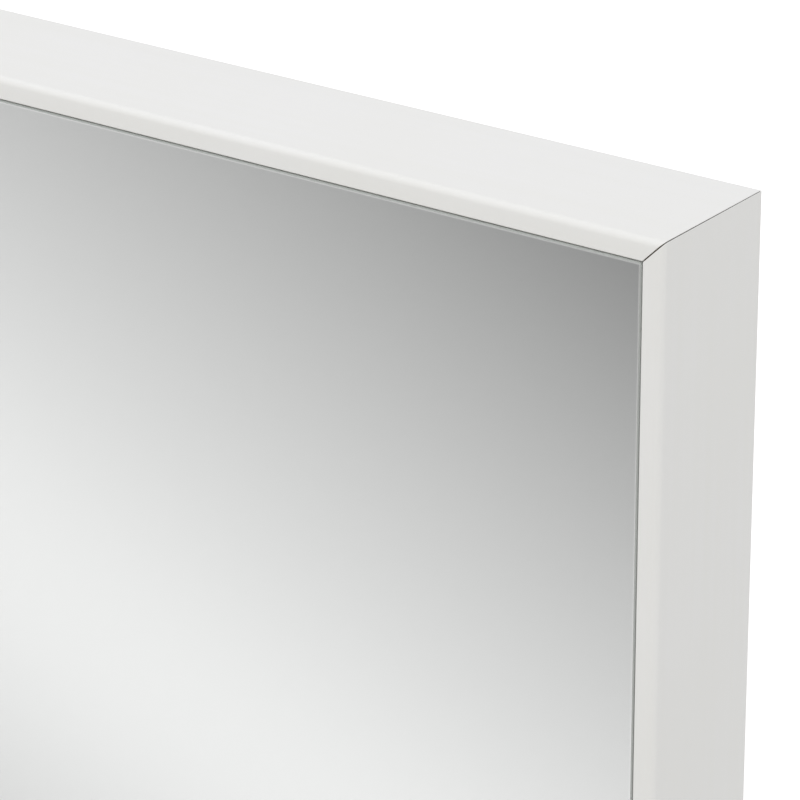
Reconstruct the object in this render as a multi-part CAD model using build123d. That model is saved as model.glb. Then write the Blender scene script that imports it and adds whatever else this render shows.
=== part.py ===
from build123d import *

import math
import os

# Square wall mirror: a silvered sheet of float glass set flush in a deep box frame.
# The frame is four fibreboard rails, each wrapped in white foil and mitred at its ends.
# The glass is bonded to a ledge with foam tape, and a hardboard panel closes the back.
# The mirror hangs on two keyhole plates, let into the back of the side rails.
#
# Millimetres. +X is to the viewer's right, +Y points at the wall and +Z is up.
# The origin is midway between the entry holes of the two keyhole plates, on the
# plane of the frame's bare back face, which the plates are flush with.

# Overall size
mirror_width = 650.0
mirror_height = 650.0
frame_depth = 40.0

# Foil and the wrapped edges of a rail
foil_thickness = 0.3
foil_turnover = 4.0
foil_seam = 0.2
front_edge_radius = 1.6
glass_side_radius = 0.4
back_edge_radius = 0.5

# Section of a rail: the narrow lip beside the glass, and the rebate for the back panel
lip_width = 5.5
panel_rebate_width = 7.0
panel_rebate_depth = 8.0

# Glass and the layers behind it
glass_gap = 0.35
glass_recess = 0.1
glass_thickness = 4.0
glass_arris_width = 0.6
glass_arris_depth = 0.25
glass_corner_cut = 0.45
silvering_thickness = 0.1
film_thickness = 0.2
film_inset = 0.4
tape_thickness = 0.9
tape_width = 12.0
tape_inset = 3.0
tape_joint = 2.0

# Hardboard back and the steel points that hold it in
panel_thickness = 3.0
panel_clearance = 1.0
point_width = 6.0
point_tip_width = 2.5
point_tip_length = 4.0
point_length = 15.0
point_bite = 8.5
point_thickness = 0.5
point_from_corner = 125.0
points_per_side = 3

# V-nails across each mitre, seen from the back as an angle with a leg in each rail
nail_leg = 5.0
nail_thickness = 0.6
nail_height = 12.0
nail_sink = 0.4
nail_edge_distance = 3.5

# Keyhole hanger plates, and the pocket behind each for the head of the wall screw
hanger_drop = 70.0
entry_radius = 4.5
slot_width = 4.6
slot_rise = 8.0
pocket_margin = 0.9
pocket_depth = 9.0
plate_bearing_width = 1.1
plate_thickness = 1.2
plate_corner_radius = 3.0
plate_clearance = 0.1
plate_side_margin = 1.0
pocket_to_screw = 4.6
screw_to_plate_end = 6.0

# Countersunk screws of the hanger plates
screw_head_radius = 2.8
screw_shank_radius = 1.4
screw_length = 14.0
screw_point = 2.5
screw_clearance = 0.05

# Clear bumpers that keep the frame off the wall
bumper_radius = 5.0
bumper_height = 2.3
bumper_round = 1.0
bumper_from_corner = 30.0

# Worked out from the sizes above. The land is the rail's back face, beside the rebate.
pocket_radius = entry_radius + pocket_margin
plate_width = 2 * (pocket_radius + plate_bearing_width)
back_land = foil_turnover + plate_width + 2 * plate_side_margin
bare_land_middle = (foil_turnover + back_land) / 2
rail_width = back_land + panel_rebate_width
front_y = foil_thickness - frame_depth
glass_front_y = front_y + glass_recess
silvering_y = glass_front_y + glass_thickness
film_y = silvering_y + silvering_thickness
tape_y = film_y + film_thickness
ledge_y = tape_y + tape_thickness
panel_seat_y = -panel_rebate_depth
panel_back_y = panel_seat_y + panel_thickness
glass_width = mirror_width - 2 * (lip_width + glass_gap)
glass_height = mirror_height - 2 * (lip_width + glass_gap)
panel_width = mirror_width - 2 * (back_land + panel_clearance)
panel_height = mirror_height - 2 * (back_land + panel_clearance)
hanger_x = mirror_width / 2 - bare_land_middle
upper_screw_z = slot_rise + pocket_radius + pocket_to_screw
lower_screw_z = -pocket_radius - pocket_to_screw
nail_insets = (foil_turnover + nail_edge_distance, back_land - nail_edge_distance)
centre = Pos(0, 0, hanger_drop - mirror_height / 2)

# Each rail is modelled as the top one, with the mirror's centre at the origin, and then
# turned about the Y axis: (quarter turns, length along the outside, outside to centre)
rails = {
    "top": (0, mirror_width, mirror_height / 2),
    "right": (1, mirror_height, mirror_width / 2),
    "bottom": (2, mirror_width, mirror_height / 2),
    "left": (3, mirror_height, mirror_width / 2),
}


def in_place(side, shape):
    """Turn a shape that was modelled on the top rail onto the named rail."""
    quarter_turns = rails[side][0]
    return centre * Rot(0, 90 * quarter_turns, 0) * shape


def block(x, y, z):
    """Box between the given (low, high) pairs."""
    size = (x[1] - x[0], y[1] - y[0], z[1] - z[0])
    middle = Pos((x[0] + x[1]) / 2, (y[0] + y[1]) / 2, (z[0] + z[1]) / 2)
    return middle * Box(*size)


def rounded(face, corners):
    """Round the named corners of a flat outline: ((x, y), radius) for each."""
    for (x, y), radius in corners:
        corner = face.vertices().sort_by_distance(Vector(x, y, 0))[0]
        face = fillet(corner, radius)
    return face


def section(skin):
    """Rail section as (distance in from the outside, y). skin 0 is the foil's outer surface
    and skin foil_thickness the fibreboard's, under the foil."""
    outside = skin
    front = front_y + skin
    glass_side = lip_width - skin
    outline = [
        (outside, front),
        (glass_side, front),
        (glass_side, ledge_y),
        (rail_width, ledge_y),
        (rail_width, panel_seat_y),
        (back_land, panel_seat_y),
        (back_land, 0),
    ]
    turned_y = foil_thickness - skin
    if turned_y > 0:
        outline += [(foil_turnover, 0), (foil_turnover, turned_y)]
    outline += [(outside, turned_y)]
    face = make_face(Polyline(*outline, close=True))
    corners = [
        ((outside, front), front_edge_radius - skin),
        ((glass_side, front), glass_side_radius - skin),
        ((outside, turned_y), back_edge_radius - skin),
    ]
    return rounded(face, corners)


def rail_prism(side, face, shortened):
    """Run a section along the top rail and mitre both ends at 45 degrees."""
    _, length, outside = rails[side]
    # The section's x runs inwards, which is down on the top rail, and its y is the row's y
    across = Plane(origin=(0, 0, outside), x_dir=(0, 0, -1), z_dir=(1, 0, 0))
    bar = extrude(across * face, amount=length / 2, both=True)
    end = length / 2 - shortened
    low = outside - rail_width
    trapezium = Polyline(
        (-end, outside),
        (end, outside),
        (end - rail_width, low),
        (rail_width - end, low),
        close=True,
    )
    along = Plane(origin=(0, frame_depth, 0), x_dir=(1, 0, 0), z_dir=(0, -1, 0))
    return bar & extrude(along * make_face(trapezium), amount=3 * frame_depth)


def v_nails(top_y):
    """Two angles of strip steel in each mitre, bent on the joint, standing up to top_y."""
    half = nail_thickness / 2
    legs = Polyline(
        (half, half),
        (-nail_leg, half),
        (-nail_leg, -half),
        (-half, -half),
        (-half, -nail_leg),
        (half, -nail_leg),
        close=True,
    )
    top = Plane(origin=(0, top_y, 0), x_dir=(1, 0, 0), z_dir=(0, -1, 0))
    nail = extrude(top * make_face(legs), amount=nail_height + nail_sink + top_y)
    nails = []
    for quarter_turns, (side_x, side_z) in enumerate(((1, 1), (1, -1), (-1, -1), (-1, 1))):
        for inset in nail_insets:
            x = side_x * (mirror_width / 2 - inset)
            z = side_z * (mirror_height / 2 - inset)
            nails.append(centre * Pos(x, 0, z) * Rot(0, 90 * quarter_turns, 0) * nail)
    return nails


def panel_points(side):
    """Steel points driven level into the rebate's wall, just behind the hardboard."""
    _, length, outside = rails[side]
    tip = outside - back_land + point_bite
    blade = Polyline(
        (-point_width / 2, tip - point_length),
        (-point_width / 2, tip - point_tip_length),
        (-point_tip_width / 2, tip),
        (point_tip_width / 2, tip),
        (point_width / 2, tip - point_tip_length),
        (point_width / 2, tip - point_length),
        close=True,
    )
    back_of_point = Plane(
        origin=(0, panel_back_y + point_thickness, 0), x_dir=(1, 0, 0), z_dir=(0, -1, 0)
    )
    point = extrude(back_of_point * make_face(blade), amount=point_thickness)
    first = point_from_corner - length / 2
    pitch = -2 * first / (points_per_side - 1)
    return [in_place(side, Pos(first + n * pitch, 0, 0) * point) for n in range(points_per_side)]


def plate_outline(grow):
    """Flat outline of a hanger plate about its entry hole, grown by a clearance."""
    top = upper_screw_z + screw_to_plate_end + grow
    bottom = lower_screw_z - screw_to_plate_end - grow
    width = plate_width + 2 * grow
    return Pos(0, (top + bottom) / 2) * RectangleRounded(
        width, top - bottom, plate_corner_radius + grow
    )


def on_back(x, face, depth):
    """Sink a flat outline, drawn about a hanger's entry hole, into the back face."""
    back = Plane(origin=(x, 0, 0), x_dir=(1, 0, 0), z_dir=(0, -1, 0))
    return extrude(back * face, amount=depth)


def screw(x, z, grow):
    """Countersunk screw driven in from the back face. grow widens it into its own hole."""
    head = screw_head_radius + grow
    shank = screw_shank_radius + grow
    cone = head - shank
    tip = screw_length + grow
    half = Polyline(
        (0, 0),
        (head, 0),
        (shank, -cone),
        (shank, screw_point - tip),
        (0, -tip),
        close=True,
    )
    body = revolve(make_face(half), axis=Axis.Y)
    return Pos(x, 0, z) * body


def screw_places():
    """(x, z) of the two screws in each hanger plate."""
    return [(x, z) for x in (-hanger_x, hanger_x) for z in (upper_screw_z, lower_screw_z)]


def hanger_plate(x):
    """Steel plate with a round entry for the wall screw's head and a slot up from it."""
    entry = Circle(entry_radius)
    slot = Pos(0, slot_rise / 2) * Rectangle(slot_width, slot_rise)
    slot_end = Pos(0, slot_rise) * Circle(slot_width / 2)
    plate = on_back(x, plate_outline(0) - entry - slot - slot_end, plate_thickness)
    for screw_x, z in screw_places():
        plate -= screw(screw_x, z, screw_clearance)
    return plate


def hanger_cuts(x):
    """What is routed out of a side rail for a hanger: the plate's recess and the pocket."""
    recess = on_back(x, plate_outline(plate_clearance), plate_thickness)
    run = Pos(0, slot_rise / 2) * Rectangle(2 * pocket_radius, slot_rise)
    ends = Circle(pocket_radius) + Pos(0, slot_rise) * Circle(pocket_radius)
    pocket = on_back(x, run + ends, pocket_depth)
    return [recess, pocket]


def rail_core(side):
    """Fibreboard rail, with the slots and recesses that the metal pieces sit in."""
    core = in_place(side, rail_prism(side, section(foil_thickness), 0))
    cuts = v_nails(0) + panel_points(side)
    if side in ("left", "right"):
        x = hanger_x if side == "right" else -hanger_x
        cuts += hanger_cuts(x)
        cuts += [screw(sx, z, screw_clearance) for sx, z in screw_places() if sx == x]
    for cut in cuts:
        core -= cut
    return core


def rail_foil(side):
    """Foil from the glass rebate over the lip and the outside, turned over onto the back."""
    band = section(0) - section(foil_thickness)
    return in_place(side, rail_prism(side, band, foil_seam / math.sqrt(2)))


def pane(margin, front, thickness):
    """Sheet of the glass's outline with nipped corners, smaller by a margin all round."""
    outline = Rectangle(glass_width - 2 * margin, glass_height - 2 * margin)
    outline = chamfer(outline.vertices(), glass_corner_cut)
    back = Plane(origin=(0, front + thickness, 0), x_dir=(1, 0, 0), z_dir=(0, -1, 0))
    return centre * extrude(back * outline, amount=thickness)


def glass_sheet():
    """Float glass with every sharp edge of its front and back ground to a flat arris."""
    sheet = pane(0, glass_front_y, glass_thickness)
    for end in (0, -1):
        face = sheet.faces().sort_by(Axis.Y)[end]
        sheet = chamfer(face.edges(), glass_arris_width, glass_arris_depth, reference=face)
    return sheet


def tape(side):
    """Foam tape between the film and the ledge. The top and bottom strips run through."""
    _, length, outside = rails[side]
    high = outside - lip_width - tape_inset
    if side in ("top", "bottom"):
        end = length / 2 - lip_width - tape_inset
    else:
        end = length / 2 - lip_width - tape_inset - tape_width - tape_joint
    return in_place(side, block((-end, end), (tape_y, ledge_y), (high - tape_width, high)))


def back_panel():
    """Hardboard panel seated in the rear rebate."""
    return centre * block(
        (-panel_width / 2, panel_width / 2),
        (panel_seat_y, panel_back_y),
        (-panel_height / 2, panel_height / 2),
    )


def bumpers():
    """Round bumpers stuck to the bare back of the side rails, near their ends."""
    disc = Cylinder(bumper_radius, bumper_height)
    disc = fillet(disc.edges().sort_by(Axis.Z)[-1], bumper_round)
    # The disc is made standing up about its own middle, and is laid down with its round outwards
    disc = Pos(0, bumper_height / 2, 0) * Rot(-90, 0, 0) * disc
    z = mirror_height / 2 - bumper_from_corner
    places = [(side_x * hanger_x, side_z * z) for side_x in (-1, 1) for side_z in (-1, 1)]
    return Compound([centre * Pos(x, 0, z) * disc for x, z in places])


def all_parts():
    """Every node of the mirror by name."""
    parts = {}
    for side in rails:
        parts[f"rail_core_{side}"] = rail_core(side)
        parts[f"rail_foil_{side}"] = rail_foil(side)
        parts[f"glass_tape_{side}"] = tape(side)
    parts["corner_v_nails"] = Compound(v_nails(-nail_sink))
    parts["glass_sheet"] = glass_sheet()
    parts["silvering"] = pane(glass_arris_width, silvering_y, silvering_thickness)
    parts["safety_film"] = pane(glass_arris_width + film_inset, film_y, film_thickness)
    parts["back_panel"] = back_panel()
    parts["panel_points"] = Compound([point for side in rails for point in panel_points(side)])
    parts["hanger_plate_left"] = hanger_plate(-hanger_x)
    parts["hanger_plate_right"] = hanger_plate(hanger_x)
    parts["hanger_screws"] = Compound([screw(x, z, 0) for x, z in screw_places()])
    parts["wall_bumpers"] = bumpers()
    return parts


os.makedirs("parts", exist_ok=True)
for name, shape in all_parts().items():
    export_step(shape, f"parts/{name}.step")
    print(name, len(shape.solids()), "solids,", round(shape.volume), "mm3")
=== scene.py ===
import bpy
import bmesh
import math
from mathutils import Matrix, Vector


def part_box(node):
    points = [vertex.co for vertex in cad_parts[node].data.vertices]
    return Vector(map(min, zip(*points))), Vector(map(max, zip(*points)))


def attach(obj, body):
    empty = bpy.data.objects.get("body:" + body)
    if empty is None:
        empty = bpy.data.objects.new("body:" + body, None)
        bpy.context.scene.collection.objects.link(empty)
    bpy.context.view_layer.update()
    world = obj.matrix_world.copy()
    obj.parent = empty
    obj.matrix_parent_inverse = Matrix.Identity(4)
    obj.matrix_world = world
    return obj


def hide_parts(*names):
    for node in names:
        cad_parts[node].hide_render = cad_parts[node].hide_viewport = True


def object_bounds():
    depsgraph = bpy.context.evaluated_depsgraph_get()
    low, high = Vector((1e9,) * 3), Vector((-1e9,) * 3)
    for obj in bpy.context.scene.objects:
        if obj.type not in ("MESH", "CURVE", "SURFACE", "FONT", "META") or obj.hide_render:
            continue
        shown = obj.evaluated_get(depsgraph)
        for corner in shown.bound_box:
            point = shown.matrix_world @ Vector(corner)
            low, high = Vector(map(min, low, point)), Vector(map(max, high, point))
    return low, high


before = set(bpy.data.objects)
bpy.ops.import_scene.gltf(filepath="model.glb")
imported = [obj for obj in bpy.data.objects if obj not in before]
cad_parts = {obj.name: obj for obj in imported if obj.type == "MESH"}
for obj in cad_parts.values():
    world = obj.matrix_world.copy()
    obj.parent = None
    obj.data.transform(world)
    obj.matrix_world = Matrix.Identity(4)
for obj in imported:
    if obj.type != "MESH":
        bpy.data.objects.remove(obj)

# Wall mirror in a white box frame, seen close up at its top right corner.
# x runs to the viewer's right, y towards the wall, z up, all in metres.

cadBox = [list(corner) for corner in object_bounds()]  # the box around the imported model; the box that the looks have to stay in
mm = 0.001
nearly = 0.001 * mm          # two places closer than this are the same place
mixA, mixB, mixed = 6, 7, 2  # numbers of a Mix node's two colour sockets, and of its colour output


# Shared helpers

def linearColour(hexCode):  # sRGB hex to the linear colour that shaders and lamps take
    channels = [int(hexCode[i:i + 2], 16) / 255 for i in (1, 3, 5)]
    curved = [c / 12.92 if c <= 0.04045 else ((c + 0.055) / 1.055) ** 2.4 for c in channels]
    return (*curved, 1.0)


def feed(tree, node, inputs):  # each socket takes a value, or a link where it is given another socket
    for name, value in inputs.items():
        socket = node.inputs[name]
        if isinstance(value, bpy.types.NodeSocket):
            tree.links.new(value, socket)
        else:
            socket.default_value = value


def addNode(tree, kind, inputs=None, stops=None, **settings):
    node = tree.nodes.new(kind)
    for name, value in settings.items():  # these come first, because some of them change the sockets
        setattr(node, name, value)
    feed(tree, node, inputs or {})
    if stops:  # places and colours of a ramp
        elements = node.color_ramp.elements
        while len(elements) < len(stops):
            elements.new(0.5)
        for element, (position, colour) in zip(elements, stops):
            element.position = position
            element.color = colour
    return node


def newMaterial(name):  # with its node tree, its Principled shader and the place of a point on the piece
    material = bpy.data.materials.new(name)
    material.use_nodes = True
    tree = material.node_tree
    tree.nodes.clear()
    shader = addNode(tree, "ShaderNodeBsdfPrincipled")
    addNode(tree, "ShaderNodeOutputMaterial", {"Surface": shader.outputs["BSDF"]})
    place = addNode(tree, "ShaderNodeTexCoord").outputs["Object"]
    return material, tree, shader, place


def reachFromMiddle(tree, place):  # how far a point is from the mirror's middle, sideways and up or down
    fromMiddle = addNode(tree, "ShaderNodeVectorMath", {0: place, 1: middle}, operation="SUBTRACT")
    apart = addNode(tree, "ShaderNodeVectorMath", {0: fromMiddle.outputs[0]}, operation="ABSOLUTE")
    return addNode(tree, "ShaderNodeSeparateXYZ", {"Vector": apart.outputs[0]})


def perMm(size):  # scale of a pattern whose blotches are about this many millimetres across
    return 1 / (size * mm)


def dress(thing, material):
    thing.data.materials.clear()
    thing.data.materials.append(material)


def bevelEdges(bm, edges, width, steps=1):
    bmesh.ops.bevel(
        bm, geom=edges, offset=width, offset_type="OFFSET", segments=steps, profile=0.5, affect="EDGES",
        material=-1)


def splitByPlane(bm, place, direction, clearOuter=False):
    bmesh.ops.bisect_plane(
        bm, geom=bm.verts[:] + bm.edges[:] + bm.faces[:], plane_co=place, plane_no=direction,
        clear_outer=clearOuter)


def finishMesh(bm, name, material, sharpAngle=35):  # doubles merged, normals out, and on the one body
    bmesh.ops.remove_doubles(bm, verts=bm.verts, dist=nearly)
    bmesh.ops.recalc_face_normals(bm, faces=bm.faces)
    mesh = bpy.data.meshes.new(name)
    bm.to_mesh(mesh)
    bm.free()
    mesh.shade_smooth()
    mesh.set_sharp_from_angle(angle=math.radians(sharpAngle))
    piece = bpy.data.objects.new(name, mesh)
    bpy.context.collection.objects.link(piece)
    dress(piece, material)
    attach(piece, "root")
    return piece


# Places that several pieces share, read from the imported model

low, high = (Vector(corner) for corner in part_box("rail_foil_top"))
frontY = low.y
backY = high.y
lip = high.z - low.z
mirrorLow, mirrorHigh = (Vector(corner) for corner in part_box("glass_sheet"))
glassFrontY = mirrorLow.y
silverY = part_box("silvering")[0][1]
middle = Vector(((mirrorLow.x + mirrorHigh.x) / 2, 0, (mirrorLow.z + mirrorHigh.z) / 2))
outside = cadBox[1][2] - middle.z  # from the middle to the outside of a rail; the mirror is square
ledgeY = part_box("glass_tape_top")[1][1]
print("frame loaded:", len(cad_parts), "nodes, lip", round(lip / mm, 2), "mm")


# Materials

foilLook = {
    "colour": "#F1F1F1",
    "shade": "#F0F0EF",      # of the streaks and soft patches, hardly darker
    "speck": "#C9C8C4",
    "speckShare": 0.8,
    "roughness": 0.52,
    "roughSpread": 0.05,
    "peelMm": 2.2,           # fibres of the board show through the foil as a faint orange peel
    "peelDepth": 0.003,      # mm
    "streakMm": 3.0,         # width of the faint lines that the wrapping rollers leave along a rail
    "streakSquash": 0.02,    # which makes them 50 times as long
    "patchMm": 45,
    "speckMm": 26,           # about how far apart the specks in the foil are
    "speckSize": 0.016,      # their radius as a share of that
}


def wrapFoilMaterial(name, squash):
    # Polypropylene foil, calendered white and satin, wrapped hot on the board by rollers: an even,
    # neutral white with a soft gloss, faint lines along the rail and a hint of the board's grain
    material, tree, shader, place = newMaterial(name)
    lines = addNode(tree, "ShaderNodeMapping", {"Vector": place, "Scale": squash})
    streak = addNode(tree, "ShaderNodeTexNoise", {
        "Vector": lines.outputs["Vector"], "Scale": perMm(foilLook["streakMm"]), "Detail": 3.0,
        "Roughness": 0.6})
    patch = addNode(tree, "ShaderNodeTexNoise", {
        "Vector": place, "Scale": perMm(foilLook["patchMm"]), "Detail": 2.0})
    both = addNode(tree, "ShaderNodeMath", {
        0: streak.outputs["Fac"], 1: patch.outputs["Fac"]}, operation="MULTIPLY")
    tone = addNode(tree, "ShaderNodeValToRGB", {"Fac": both.outputs["Value"]}, stops=[
        (0.14, linearColour(foilLook["shade"])), (0.34, linearColour(foilLook["colour"]))])
    speck = addNode(tree, "ShaderNodeTexVoronoi", {
        "Vector": place, "Scale": perMm(foilLook["speckMm"]), "Randomness": 1.0})
    dot = addNode(tree, "ShaderNodeValToRGB", {"Fac": speck.outputs["Distance"]}, stops=[
        (0.0, linearColour(foilLook["speck"])), (foilLook["speckSize"], linearColour("#FFFFFF"))])
    skin = addNode(tree, "ShaderNodeMix", {
        "Factor": foilLook["speckShare"], mixA: tone.outputs["Color"], mixB: dot.outputs["Color"]},
        data_type="RGBA", blend_type="MULTIPLY")
    peel = addNode(tree, "ShaderNodeTexNoise", {
        "Vector": place, "Scale": perMm(foilLook["peelMm"]), "Detail": 2.0, "Roughness": 0.45})
    bump = addNode(tree, "ShaderNodeBump", {
        "Height": peel.outputs["Fac"], "Strength": 0.35, "Distance": foilLook["peelDepth"] * mm})
    rough = addNode(tree, "ShaderNodeMapRange", {
        "Value": streak.outputs["Fac"], "To Min": foilLook["roughness"] - foilLook["roughSpread"],
        "To Max": foilLook["roughness"] + foilLook["roughSpread"]})
    feed(tree, shader, {
        "Base Color": skin.outputs[mixed], "Roughness": rough.outputs["Result"], "IOR": 1.49,
        "Normal": bump.outputs["Normal"]})
    return material


boardLook = {
    "dark": "#7E6446",
    "middling": "#A98B64",
    "light": "#C4A87F",
    # painted shade: the dark brown of the narrow mitre seam, which lies in shadow
    "seamShade": "#4A3F30",
    "roughness": 0.86,
    "feltMm": 0.9,
    "feltDepth": 0.08,  # mm
    "strandMm": 4.5,
    "seamShadeReach": 0.5,   # mm beside a mitre that the painted seam shade covers
}


def fibreboardMaterial():
    # Medium-density fibreboard, sawn, milled and glued at its mitres: matt tan felt of fine fibres
    # with darker strands, and painted shade, dark brown, along the narrow mitre seam where two rails meet
    material, tree, shader, place = newMaterial("sawnFibreboard")
    felt = addNode(tree, "ShaderNodeTexNoise", {
        "Vector": place, "Scale": perMm(boardLook["feltMm"]), "Detail": 8.0, "Roughness": 0.7})
    strand = addNode(tree, "ShaderNodeTexNoise", {
        "Vector": place, "Scale": perMm(boardLook["strandMm"]), "Detail": 6.0, "Roughness": 0.75,
        "Distortion": 1.6})
    both = addNode(tree, "ShaderNodeMath", {
        0: felt.outputs["Fac"], 1: strand.outputs["Fac"]}, operation="MULTIPLY")
    tone = addNode(tree, "ShaderNodeValToRGB", {"Fac": both.outputs["Value"]}, stops=[
        (0.12, linearColour(boardLook["dark"])), (0.26, linearColour(boardLook["middling"])),
        (0.42, linearColour(boardLook["light"]))])
    reach = reachFromMiddle(tree, place)  # the mitres are where both reaches are the same
    # painted shade: a dark brown band along each mitre stands in for the shadow in the seam
    seamShaded = addNode(tree, "ShaderNodeMath", {
        0: reach.outputs["X"], 1: reach.outputs["Z"], 2: boardLook["seamShadeReach"] * mm}, operation="COMPARE")
    board = addNode(tree, "ShaderNodeMix", {
        "Factor": seamShaded.outputs[0], mixA: tone.outputs["Color"], mixB: linearColour(boardLook["seamShade"])},
        data_type="RGBA")
    bump = addNode(tree, "ShaderNodeBump", {
        "Height": felt.outputs["Fac"], "Strength": 0.6, "Distance": boardLook["feltDepth"] * mm})
    feed(tree, shader, {
        "Base Color": board.outputs[mixed], "Roughness": boardLook["roughness"],
        "Normal": bump.outputs["Normal"]})
    return material


hardboardLook = {
    "dark": "#60442C",
    "middling": "#7B5A3A",
    "light": "#8F6C48",
    "roughness": 0.48,
    "fibreMm": 3.2,
    "fibreDepth": 0.05,  # mm
    "patchMm": 90,
    "patchShare": 0.15,
}


def hardboardMaterial():
    # Hardboard, pressed wet with one smooth face: dark brown, faintly glossy, with matted fibres
    material, tree, shader, place = newMaterial("pressedHardboard")
    fibre = addNode(tree, "ShaderNodeTexNoise", {
        "Vector": place, "Scale": perMm(hardboardLook["fibreMm"]), "Detail": 8.0, "Roughness": 0.72,
        "Distortion": 2.2})
    patch = addNode(tree, "ShaderNodeTexNoise", {
        "Vector": place, "Scale": perMm(hardboardLook["patchMm"]), "Detail": 3.0})
    both = addNode(tree, "ShaderNodeMix", {  # of plain values, which have their own two sockets
        "Factor": hardboardLook["patchShare"], 2: fibre.outputs["Fac"], 3: patch.outputs["Fac"]},
        data_type="FLOAT")
    tone = addNode(tree, "ShaderNodeValToRGB", {"Fac": both.outputs[0]}, stops=[
        (0.3, linearColour(hardboardLook["dark"])), (0.5, linearColour(hardboardLook["middling"])),
        (0.7, linearColour(hardboardLook["light"]))])
    bump = addNode(tree, "ShaderNodeBump", {
        "Height": fibre.outputs["Fac"], "Strength": 0.35, "Distance": hardboardLook["fibreDepth"] * mm})
    feed(tree, shader, {
        "Base Color": tone.outputs["Color"], "Roughness": hardboardLook["roughness"],
        "Normal": bump.outputs["Normal"]})
    return material


glassLook = {
    "side": "#D6DAD7",          # the sheet's ground edge
    "arris": "#A9AEAB",         # the arris, where the grinding is coarsest
    "sideFrost": 0.9,           # share of the light that a ground face scatters
    "rimFrost": 0.44,           # the polished strip inside the arris fades in from none towards this,
    "easedReach": 0.6,          # over these last mm before the edge
    "roughness": 0.3,
    "clearFacing": (0.94, 0.99),  # how squarely a face looks front or back, from ground to clear
    "arrisFacing": (0.2, 0.6),    # and from the side to the arris
}


def floatGlassMaterial():
    # Soda-lime float glass, its faces fire-polished and its edges ground: clear on the faces, while
    # the fine scratches of the grinding turn the edge and its arris into a frosted grey-green line
    material, tree, shader, place = newMaterial("groundEdgeFloatGlass")
    reach = reachFromMiddle(tree, place)
    farthest = addNode(tree, "ShaderNodeMath", {
        0: reach.outputs["X"], 1: reach.outputs["Z"]}, operation="MAXIMUM")
    half = (mirrorHigh.x - mirrorLow.x) / 2
    eased = addNode(tree, "ShaderNodeMapRange", {
        "Value": farthest.outputs[0], "From Min": half - glassLook["easedReach"] * mm, "From Max": half,
        "To Max": glassLook["rimFrost"]})
    geometry = addNode(tree, "ShaderNodeNewGeometry")
    normal = addNode(tree, "ShaderNodeSeparateXYZ", {"Vector": geometry.outputs["Normal"]})
    facing = addNode(tree, "ShaderNodeMath", {0: normal.outputs["Y"]}, operation="ABSOLUTE")
    ground = addNode(tree, "ShaderNodeMapRange", {
        "Value": facing.outputs["Value"], "From Min": glassLook["clearFacing"][0],
        "From Max": glassLook["clearFacing"][1], "To Min": glassLook["sideFrost"], "To Max": 0.0})
    veil = addNode(tree, "ShaderNodeMath", {
        0: ground.outputs["Result"], 1: eased.outputs["Result"]}, operation="MAXIMUM")
    clear = addNode(tree, "ShaderNodeMath", {0: 1.0, 1: veil.outputs[0]}, operation="SUBTRACT")
    rough = addNode(tree, "ShaderNodeMath", {
        0: ground.outputs["Result"], 1: glassLook["roughness"]}, operation="MULTIPLY")
    turned = addNode(tree, "ShaderNodeMapRange", {
        "Value": facing.outputs["Value"], "From Min": glassLook["arrisFacing"][0],
        "From Max": glassLook["arrisFacing"][1]})
    frosted = addNode(tree, "ShaderNodeMix", {
        "Factor": turned.outputs["Result"], mixA: linearColour(glassLook["side"]),
        mixB: linearColour(glassLook["arris"])}, data_type="RGBA")
    tint = addNode(tree, "ShaderNodeMix", {
        "Factor": veil.outputs[0], mixA: linearColour("#FFFFFF"), mixB: frosted.outputs[mixed]},
        data_type="RGBA")
    feed(tree, shader, {
        "Base Color": tint.outputs[mixed], "Roughness": rough.outputs["Value"], "IOR": 1.52,
        "Transmission Weight": clear.outputs["Value"]})
    return material


silverLook = {"colour": "#F8F9F8", "hazeMm": 120, "clearest": 0.004, "haziest": 0.012}


def silverMaterial():
    # Silver, laid down wet on the glass and painted over behind: an all but perfect neutral mirror
    material, tree, shader, place = newMaterial("wetSilvering")
    haze = addNode(tree, "ShaderNodeTexNoise", {
        "Vector": place, "Scale": perMm(silverLook["hazeMm"]), "Detail": 2.0})
    rough = addNode(tree, "ShaderNodeMapRange", {
        "Value": haze.outputs["Fac"], "To Min": silverLook["clearest"], "To Max": silverLook["haziest"]})
    feed(tree, shader, {
        "Base Color": linearColour(silverLook["colour"]), "Metallic": 1.0,
        "Roughness": rough.outputs["Result"]})
    return material


zincLook = {"bright": "#D9DBDC", "cloudMm": 4, "cloudDepth": 0.01, "duller": 0.1, "glossier": 0.08}


def zincMaterial(name, colour, roughness):
    # Mild steel, pressed and bright zinc plated: pale bluish grey with a soft cloudy gloss
    material, tree, shader, place = newMaterial(name)
    cloud = addNode(tree, "ShaderNodeTexNoise", {
        "Vector": place, "Scale": perMm(zincLook["cloudMm"]), "Detail": 5.0, "Roughness": 0.6})
    tone = addNode(tree, "ShaderNodeMix", {
        "Factor": cloud.outputs["Fac"], mixA: linearColour(colour), mixB: linearColour(zincLook["bright"])},
        data_type="RGBA")
    rough = addNode(tree, "ShaderNodeMapRange", {
        "Value": cloud.outputs["Fac"], "To Min": roughness - zincLook["glossier"],
        "To Max": roughness + zincLook["duller"]})
    bump = addNode(tree, "ShaderNodeBump", {
        "Height": cloud.outputs["Fac"], "Strength": 0.2, "Distance": zincLook["cloudDepth"] * mm})
    feed(tree, shader, {
        "Base Color": tone.outputs[mixed], "Metallic": 1.0, "Roughness": rough.outputs["Result"],
        "Normal": bump.outputs["Normal"]})
    return material


tapeLook = {"cell": "#DDDCD6", "wall": "#F2F1EC", "roughness": 0.9, "cellMm": 0.35, "cellDepth": 0.05}


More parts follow.
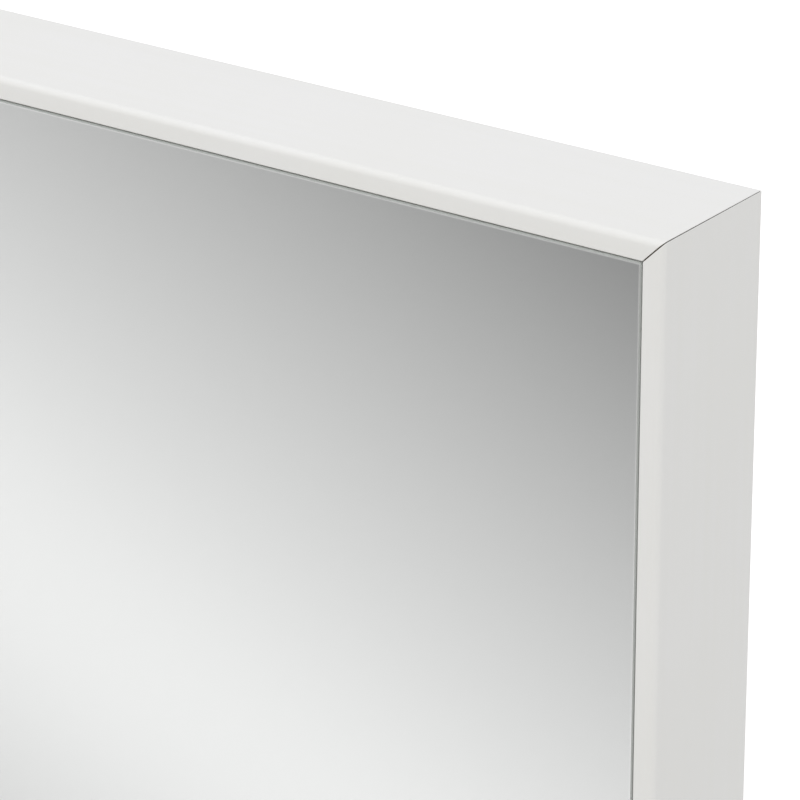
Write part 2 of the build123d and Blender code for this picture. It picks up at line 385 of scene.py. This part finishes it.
def foamTapeMaterial():
    # Polyethylene foam tape, cut from a roll: matt off-white with fine closed cells
    material, tree, shader, place = newMaterial("slitFoamTape")
    cell = addNode(tree, "ShaderNodeTexVoronoi", {"Vector": place, "Scale": perMm(tapeLook["cellMm"])})
    tone = addNode(tree, "ShaderNodeMix", {
        "Factor": cell.outputs["Distance"], mixA: linearColour(tapeLook["cell"]),
        mixB: linearColour(tapeLook["wall"])}, data_type="RGBA")
    bump = addNode(tree, "ShaderNodeBump", {
        "Height": cell.outputs["Distance"], "Strength": 0.5, "Distance": tapeLook["cellDepth"] * mm})
    feed(tree, shader, {
        "Base Color": tone.outputs[mixed], "Roughness": tapeLook["roughness"],
        "Normal": bump.outputs["Normal"]})
    return material


filmLook = {
    "dark": "#8E959C",
    "light": "#A9B0B6",
    "roughness": 0.6,
    "waveMm": 9,         # a Wave texture has about three bands in this, so a thread each 2.8 mm
    "waveDepth": 0.02,   # mm
}


def safetyFilmMaterial():
    # Polyethylene safety film, woven and laminated: dull blue-grey with a fine cross weave
    material, tree, shader, place = newMaterial("wovenSafetyFilm")
    threads = [
        addNode(tree, "ShaderNodeTexWave", {
            "Vector": place, "Scale": perMm(filmLook["waveMm"])}, bands_direction=run).outputs["Fac"]
        for run in ("X", "Z")]
    weave = addNode(tree, "ShaderNodeMath", {0: threads[0], 1: threads[1]}, operation="MULTIPLY")
    tone = addNode(tree, "ShaderNodeMix", {
        "Factor": weave.outputs["Value"], mixA: linearColour(filmLook["dark"]),
        mixB: linearColour(filmLook["light"])}, data_type="RGBA")
    bump = addNode(tree, "ShaderNodeBump", {
        "Height": weave.outputs["Value"], "Strength": 0.3, "Distance": filmLook["waveDepth"] * mm})
    feed(tree, shader, {
        "Base Color": tone.outputs[mixed], "Roughness": filmLook["roughness"],
        "Normal": bump.outputs["Normal"]})
    return material


domeLook = {"colour": "#D9D6CE", "through": 0.4, "hazeMm": 2.5, "clearest": 0.08, "haziest": 0.2}


def bumperMaterial():
    # Polyurethane, poured clear into a dome: a glossy drop with a slight milky haze
    material, tree, shader, place = newMaterial("pouredClearPolyurethane")
    haze = addNode(tree, "ShaderNodeTexNoise", {
        "Vector": place, "Scale": perMm(domeLook["hazeMm"]), "Detail": 3.0})
    rough = addNode(tree, "ShaderNodeMapRange", {
        "Value": haze.outputs["Fac"], "To Min": domeLook["clearest"], "To Max": domeLook["haziest"]})
    feed(tree, shader, {
        "Base Color": linearColour(domeLook["colour"]), "Roughness": rough.outputs["Result"], "IOR": 1.5,
        "Transmission Weight": domeLook["through"]})
    return material


levelFoil = wrapFoilMaterial("hotWrappedFoilLevelRails", (foilLook["streakSquash"], 1.0, 1.0))
uprightFoil = wrapFoilMaterial("hotWrappedFoilUprightRails", (1.0, 1.0, foilLook["streakSquash"]))
fibreboard = fibreboardMaterial()
floatGlass = floatGlassMaterial()
plateZinc = zincMaterial("brightZincPlate", "#B3B8BC", 0.34)
screwZinc = zincMaterial("brightZincScrew", "#C2C2BE", 0.26)
nailSteel = zincMaterial("brightNailSteel", "#9A9C9E", 0.3)
foamTape = foamTapeMaterial()
clearDome = bumperMaterial()
print("materials made:", len(bpy.data.materials))


# White foil, one wrap on each rail

foil = {
    "thickness": 0.3 * mm,
    "turnover": 4.0 * mm,       # how far it goes on round the back
    "frontRadius": 1.6 * mm,
    "glassRadius": 0.4 * mm,
    "backRadius": 0.5 * mm,
    "seamBack": 0.07 * mm,      # half of the open mitre at the back
    "seamFront": 0.108 * mm,    # and behind the front bend
    "seamFlare": 0.165 * mm,    # and at the front, where the foil drew back from the corner
    "flareDepth": 0.8 * mm,
    "arcSteps": 10,
    "support": 0.35 * mm,       # narrow strips beside each bend keep the flats evenly shaded
}


def placedOnRail(bm, quarterTurns):  # a piece made as the top rail's is turned onto its own rail
    turn = Matrix.Translation(middle) @ Matrix.Rotation(quarterTurns * math.pi / 2, 4, "Y")
    bmesh.ops.transform(bm, matrix=turn, verts=bm.verts)


def wrapFoil(side, quarterTurns, material):
    bm = bmesh.new()
    path = [(lip, ledgeY), (lip, frontY), (0, frontY), (0, backY), (foil["turnover"], backY)]
    corners = [bm.verts.new((-outside, y, outside - inset)) for inset, y in path]
    for start, end in zip(corners, corners[1:]):
        bm.edges.new((start, end))
    moved = bmesh.ops.extrude_edge_only(bm, edges=bm.edges[:])["geom"]
    farEnd = [v for v in moved if isinstance(v, bmesh.types.BMVert)]
    bmesh.ops.translate(bm, vec=(2 * outside, 0, 0), verts=farEnd)
    bends = [(path[1], foil["glassRadius"]), (path[2], foil["frontRadius"]), (path[3], foil["backRadius"])]
    for (inset, y), radius in bends:
        line = [
            e for e in bm.edges
            if all(abs(v.co.y - y) < nearly and abs(v.co.z - outside + inset) < nearly for v in e.verts)]
        bevelEdges(bm, line, radius, foil["arcSteps"])
    cuts = [  # (place, direction) of the loops that hold the flats flat
        ((0, frontY + foil["frontRadius"] + foil["support"], 0), (0, 1, 0)),
        ((0, backY - foil["backRadius"] - foil["support"], 0), (0, 1, 0)),
        ((0, 0, outside - foil["frontRadius"] - foil["support"]), (0, 0, 1)),
        ((0, 0, outside - lip + foil["glassRadius"] + foil["support"]), (0, 0, 1)),
        ((0, 0, outside - foil["backRadius"] - foil["support"]), (0, 0, 1)),
    ]
    for place, direction in cuts:
        splitByPlane(bm, place, direction)
    bmesh.ops.recalc_face_normals(bm, faces=bm.faces)
    outer = max(bm.faces, key=lambda f: f.calc_center_median().z)
    inwards = foil["thickness"] if outer.normal.z > 0 else -foil["thickness"]
    bmesh.ops.solidify(bm, geom=bm.faces[:], thickness=inwards)
    openings = [  # (depth, half gap) behind and in front, for the mitre and for its flare
        (backY, foil["seamBack"], frontY, foil["seamFront"]),
        (frontY + foil["flareDepth"], foil["seamFront"], frontY, foil["seamFlare"]),
    ]
    for end in (-1, 1):
        across = Vector((end, 0, -1)).normalized()  # across the joint, out of this rail's end
        for rear, rearGap, front, frontGap in openings:
            lean = math.atan2(frontGap - rearGap, rear - front)
            splitByPlane(
                bm, Vector((end * outside, rear, outside)) - across * rearGap,
                across * math.cos(lean) - Vector((0, 1, 0)) * math.sin(lean), clearOuter=True)
            bmesh.ops.holes_fill(bm, edges=[e for e in bm.edges if e.is_boundary], sides=0)
    placedOnRail(bm, quarterTurns)
    piece = finishMesh(bm, "foilWrap" + side.capitalize(), material)
    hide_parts("rail_foil_" + side)


for turns, side in enumerate(("top", "right", "bottom", "left")):
    wrapFoil(side, turns, levelFoil if turns % 2 == 0 else uprightFoil)
    dress(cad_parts["rail_core_" + side], fibreboard)
    dress(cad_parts["glass_tape_" + side], foamTape)
print("rails wrapped")


# Mirror glass

glass = {
    "arris": 0.3 * mm,        # width of the ground arris on the face
    "arrisDepth": 0.23 * mm,  # and down the side
    "eased": 0.3 * mm,        # the strip inside it, polished to a slight slope
    "easedDepth": 0.015 * mm,
    "cornerCut": 0.45 * mm,
    "silverGap": 0.02 * mm,   # hair of air before the silver, so that the two faces don't fight
    "sharpAngle": 2,          # degrees, so that the eased strip keeps its line
}


def glassSheet():
    bm = bmesh.new()
    size = mirrorHigh - mirrorLow
    back = silverY - glass["silverGap"]
    depth = back - glassFrontY - 2 * glass["easedDepth"]
    bmesh.ops.create_cube(bm, size=1)
    bmesh.ops.scale(bm, vec=(size.x, depth, size.z), verts=bm.verts)
    bmesh.ops.translate(bm, vec=(middle.x, (glassFrontY + back) / 2, middle.z), verts=bm.verts)
    uprights = [e for e in bm.edges if abs(e.verts[0].co.y - e.verts[1].co.y) > depth / 2]
    bevelEdges(bm, uprights, glass["cornerCut"])
    rims = [e for e in bm.edges if abs(e.verts[0].co.y - e.verts[1].co.y) < nearly]
    bevelEdges(bm, rims, glass["arris"])
    for face, inward in ((glassFrontY + glass["easedDepth"], 1), (back - glass["easedDepth"], -1)):
        for v in bm.verts:
            if abs(v.co.y - face - inward * glass["arris"]) < nearly:
                v.co.y = face + inward * glass["arrisDepth"]
    bmesh.ops.recalc_face_normals(bm, faces=bm.faces)
    for face in sorted(bm.faces, key=lambda f: f.calc_area())[-2:]:  # the sheet's front and back
        bmesh.ops.inset_region(
            bm, faces=[face], thickness=glass["eased"], depth=glass["easedDepth"], use_boundary=True,
            use_even_offset=True)
    piece = finishMesh(bm, "mirrorGlass", floatGlass, sharpAngle=glass["sharpAngle"])
    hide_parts("glass_sheet")


glassSheet()
dress(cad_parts["silvering"], silverMaterial())
dress(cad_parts["safety_film"], safetyFilmMaterial())
print("glass laid in")


# Back: panel, points, nails, hangers, bumpers

bumperShape = {"radius": 5.0 * mm, "round": 1.4 * mm, "steps": 6, "sides": 40}


def bumperDomes():
    lowest, highest = (Vector(corner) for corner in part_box("wall_bumpers"))
    radius = bumperShape["radius"]
    halfway = (lowest.y + highest.y) / 2
    bm = bmesh.new()
    for x in (lowest.x + radius, highest.x - radius):
        for z in (lowest.z + radius, highest.z - radius):
            made = bmesh.ops.create_cone(
                bm, cap_ends=True, segments=bumperShape["sides"], radius1=radius, radius2=radius,
                depth=highest.y - lowest.y,
                matrix=Matrix.Translation((x, halfway, z)) @ Matrix.Rotation(-math.pi / 2, 4, "X"))
            rim = [
                e for e in bm.edges
                if e.verts[0] in made["verts"] and all(v.co.y > highest.y - nearly for v in e.verts)]
            bevelEdges(bm, rim, bumperShape["round"], bumperShape["steps"])
    piece = finishMesh(bm, "bumperDomes", clearDome)
    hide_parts("wall_bumpers")


screwShape = {
    "head": 2.8 * mm,           # radius
    "shank": 1.4 * mm,          # radius
    "point": 2.5 * mm,          # length
    "tip": 0.02 * mm,           # radius
    "cells": 10,                # the head's flat is a square grid of these, with the cross sunk in it
    "square": 1.8 * mm,         # half of that square
    "recessDepth": 1.3 * mm,
    "recessTaper": 0.62,        # the cross is this much smaller at its bottom
    "turns": (12, 58, 33, 79),  # degrees that each screw stopped at
}


def hangerScrews():
    lowest, highest = (Vector(corner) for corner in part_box("hanger_screws"))
    length = highest.y - lowest.y
    head, shank = screwShape["head"], screwShape["shank"]
    cell = 2 * screwShape["square"] / screwShape["cells"]
    places = [
        (x, z) for x in (lowest.x + head, highest.x - head) for z in (lowest.z + head, highest.z - head)]
    rings = [  # (radius, depth) from the head's rim down to the tip
        (head, 0), (shank, head - shank), (shank, length - screwShape["point"]), (screwShape["tip"], length)]
    bm = bmesh.new()
    for (x, z), turn in zip(places, screwShape["turns"]):
        done = set(bm.verts)
        bmesh.ops.create_grid(
            bm, x_segments=screwShape["cells"], y_segments=screwShape["cells"], size=screwShape["square"])
        loop = [e for e in bm.edges if e.is_boundary and e.verts[0] not in done]
        cross = []
        for face in bm.faces:
            narrow, wide = sorted(abs(c) for c in face.calc_center_median().xy)
            if face.verts[0] not in done and narrow < cell and wide < screwShape["square"] - cell:
                cross.append(face)
        sunk = bmesh.ops.extrude_face_region(bm, geom=cross)["geom"]
        bmesh.ops.delete(bm, geom=cross, context="FACES")
        bottom = [v for v in sunk if isinstance(v, bmesh.types.BMVert)]
        bmesh.ops.translate(bm, verts=bottom, vec=(0, 0, -screwShape["recessDepth"]))
        bmesh.ops.scale(bm, verts=bottom, vec=(screwShape["recessTaper"], screwShape["recessTaper"], 1))
        for radius, depth in rings:
            moved = bmesh.ops.extrude_edge_only(bm, edges=loop)["geom"]
            loop = [e for e in moved if isinstance(e, bmesh.types.BMEdge)]
            for v in moved:
                if isinstance(v, bmesh.types.BMVert):
                    v.co = Vector((v.co.x, v.co.y, 0)).normalized() * radius - Vector((0, 0, depth))
        bmesh.ops.holes_fill(bm, edges=loop, sides=0)
        turned = Matrix.Rotation(-math.pi / 2, 4, "X") @ Matrix.Rotation(math.radians(turn), 4, "Z")
        bmesh.ops.transform(
            bm, matrix=Matrix.Translation((x, highest.y, z)) @ turned,
            verts=[v for v in bm.verts if v not in done])
    piece = finishMesh(bm, "crossRecessedScrews", screwZinc)
    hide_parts("hanger_screws")


hangerScrews()
bumperDomes()
dress(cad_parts["back_panel"], hardboardMaterial())
dress(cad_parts["corner_v_nails"], nailSteel)
dress(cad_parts["panel_points"], nailSteel)
dress(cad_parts["hanger_plate_left"], plateZinc)
dress(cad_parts["hanger_plate_right"], plateZinc)
print("back dressed")


# Floor, light and camera

floorLook = {
    "size": 14.0,
    "colour": "#E9E9E7",
    "roughness": 0.9,
    "lamplight": 0.34,   # share of the lamps' light that the camera sees on it
    "cameraGlow": 0.74,  # and the glow added to that, close by
    "farGlow": 1.0,
    "glowFrom": 0.4,     # metres from the middle where the glow begins to rise
    "glowReach": 1.6,    # and where it is at its full strength
}


def paleFloor():
    bm = bmesh.new()
    bmesh.ops.create_grid(bm, x_segments=1, y_segments=1, size=floorLook["size"] / 2)
    mesh = bpy.data.meshes.new("paleFloor")
    bm.to_mesh(mesh)
    bm.free()
    floor = bpy.data.objects.new("paleFloor", mesh)
    floor.location.z = cadBox[0][2]
    bpy.context.collection.objects.link(floor)
    # Paper, coated matt white: to the camera it glows nearly to white, so that only the mirror's own
    # shadow is left on it
    material, tree, shader, place = newMaterial("mattWhitePaper")
    feed(tree, shader, {
        "Base Color": linearColour(floorLook["colour"]), "Roughness": floorLook["roughness"]})
    away = addNode(tree, "ShaderNodeVectorMath", {0: place}, operation="LENGTH")
    glow = addNode(tree, "ShaderNodeMapRange", {
        "Value": away.outputs["Value"], "From Min": floorLook["glowFrom"],
        "From Max": floorLook["glowReach"], "To Min": floorLook["cameraGlow"],
        "To Max": floorLook["farGlow"]}, interpolation_type="SMOOTHSTEP")
    emit = addNode(tree, "ShaderNodeEmission", {"Color": (1, 1, 1, 1), "Strength": glow.outputs["Result"]})
    paper = addNode(tree, "ShaderNodeBsdfDiffuse", {"Color": (*[floorLook["lamplight"]] * 3, 1)})
    seen = addNode(tree, "ShaderNodeAddShader", {0: emit.outputs[0], 1: paper.outputs[0]})
    path = addNode(tree, "ShaderNodeLightPath")
    pick = addNode(tree, "ShaderNodeMixShader", {
        0: path.outputs["Is Camera Ray"], 1: shader.outputs[0], 2: seen.outputs[0]})
    feed(tree, tree.nodes["Material Output"], {"Surface": pick.outputs[0]})
    dress(floor, material)
    floor.visible_glossy = False        # the mirror sees the soft studio all round instead
    floor.visible_transmission = False


studio = {
    "ambient": 0.77,                    # even light on the object from all round
    "run": (-0.3115, 0.6149, -0.7245),  # direction across the soft bands that the mirror shows
    "from": -0.1, "to": 0.26,           # a band starts again beyond these
    "atZero": 0.528, "rise": 4.27,      # a band brightens by this much per unit,
    "fallFrom": 1.349, "fall": -5.0,    # then dims again,
    "crest": 0.37,                      # with a rounded crest
    "dimmest": 0.21, "dimRound": 0.15,
    "strength": 1.075,                  # makes up for what the glass and the silver swallow
}


def softStudio():
    world = bpy.data.worlds.new("softStudio")
    bpy.context.scene.world = world
    world.use_nodes = True
    tree = world.node_tree
    tree.nodes.clear()
    view = addNode(tree, "ShaderNodeTexCoord").outputs["Generated"]
    along = addNode(tree, "ShaderNodeVectorMath", {0: view, 1: studio["run"]}, operation="DOT_PRODUCT")
    place = addNode(tree, "ShaderNodeMath", {
        0: along.outputs["Value"], 1: studio["to"], 2: studio["from"]}, operation="WRAP")
    brighten = addNode(tree, "ShaderNodeMath", {
        0: place.outputs[0], 1: studio["rise"], 2: studio["atZero"]}, operation="MULTIPLY_ADD")
    dim = addNode(tree, "ShaderNodeMath", {
        0: place.outputs[0], 1: studio["fall"], 2: studio["fallFrom"]}, operation="MULTIPLY_ADD")
    crest = addNode(tree, "ShaderNodeMath", {
        0: brighten.outputs[0], 1: dim.outputs[0], 2: studio["crest"]}, operation="SMOOTH_MIN")
    tone = addNode(tree, "ShaderNodeMath", {
        0: crest.outputs[0], 1: studio["dimmest"], 2: studio["dimRound"]}, operation="SMOOTH_MAX")
    bands = addNode(tree, "ShaderNodeBackground", {
        "Color": tone.outputs[0], "Strength": studio["strength"]})
    ambient = addNode(tree, "ShaderNodeBackground", {
        "Color": (1, 1, 1, 1), "Strength": studio["ambient"]})
    white = addNode(tree, "ShaderNodeBackground", {"Color": (1, 1, 1, 1), "Strength": 1.0})
    path = addNode(tree, "ShaderNodeLightPath")
    mirrored = addNode(tree, "ShaderNodeMath", {
        0: path.outputs["Is Glossy Ray"], 1: path.outputs["Is Transmission Ray"]}, operation="MAXIMUM")
    bounced = addNode(tree, "ShaderNodeMixShader", {
        0: mirrored.outputs[0], 1: ambient.outputs[0], 2: bands.outputs[0]})
    surround = addNode(tree, "ShaderNodeMixShader", {
        0: path.outputs["Is Camera Ray"], 1: bounced.outputs[0], 2: white.outputs[0]})
    addNode(tree, "ShaderNodeOutputWorld", {"Surface": surround.outputs[0]})


softBoxes = {  # name: (place, what it looks at, width, height, watts, colour, whether gloss shows it)
    "overhead": ((-0.2, -0.5, 1.6), (0.0, 0.0, -0.2), 2.2, 1.6, 8.3, "#FFFFFF", True),
    "front": ((0.6, -1.9, 0.4), (0.0, 0.0, -0.2), 1.4, 1.8, 1.75, "#FFF0C8", False),
    "right": ((2.0, -0.6, 0.5), (0.0, 0.0, -0.2), 1.4, 1.8, 1.6, "#FFFCF4", True),
}


def addSoftBox(name, place, target, width, height, watts, colour, inGloss):
    light = bpy.data.lights.new(name, "AREA")
    light.color = linearColour(colour)[:3]
    light.shape = "RECTANGLE"
    light.size = width
    light.size_y = height
    light.energy = watts
    lamp = bpy.data.objects.new(name, light)
    lamp.location = place
    lamp.rotation_euler = (Vector(target) - Vector(place)).to_track_quat("-Z", "Y").to_euler()
    lamp.visible_glossy = inGloss
    lamp.visible_transmission = False  # no hard-edged lamp shows in the mirror
    bpy.context.collection.objects.link(lamp)


photo = {
    "side": 800,                       # pixels
    "cornerPixel": (641.58, 262.47),   # where the inner corner of the frame's front shows
    "yaw": math.radians(36.15),
    "pitch": math.radians(23.35),
    "roll": math.radians(-0.297),
    "focal": 4336.8,                   # pixels
    "distance": 0.9343,                # along the view, to that corner
    "sensor": 36.0,                    # mm
    "nearest": 0.05,
}


def photoCamera():
    yaw, pitch, roll = photo["yaw"], photo["pitch"], photo["roll"]
    ahead = Vector((-math.sin(yaw) * math.cos(pitch), math.cos(yaw) * math.cos(pitch), -math.sin(pitch)))
    right = Vector((math.cos(yaw), math.sin(yaw), 0))
    up = right.cross(ahead)
    right, up = right * math.cos(roll) + up * math.sin(roll), up * math.cos(roll) - right * math.sin(roll)
    gapX = (cadBox[1][0] - lip + mirrorHigh.x) / 2  # halfway between the frame's lip and the glass
    gapZ = (cadBox[1][2] - lip + mirrorHigh.z) / 2
    corner = Vector((gapX, frontY, gapZ))
    across, down = ((pixel - photo["side"] / 2) / photo["focal"] for pixel in photo["cornerPixel"])
    data = bpy.data.cameras.new("photoCamera")
    data.sensor_width = photo["sensor"]
    data.lens = photo["focal"] * photo["sensor"] / photo["side"]
    data.clip_start = photo["nearest"]
    camera = bpy.data.objects.new("photoCamera", data)
    turn = Matrix((right, up, -ahead)).transposed().to_4x4()
    place = corner - photo["distance"] * (ahead + across * right - down * up)
    camera.matrix_world = Matrix.Translation(place) @ turn
    bpy.context.collection.objects.link(camera)
    bpy.context.scene.camera = camera


paleFloor()
softStudio()
for name, settings in softBoxes.items():
    addSoftBox(name, *settings)
photoCamera()
bpy.context.scene.view_settings.view_transform = "Standard"
print("stage set")

bpy.context.view_layer.update()
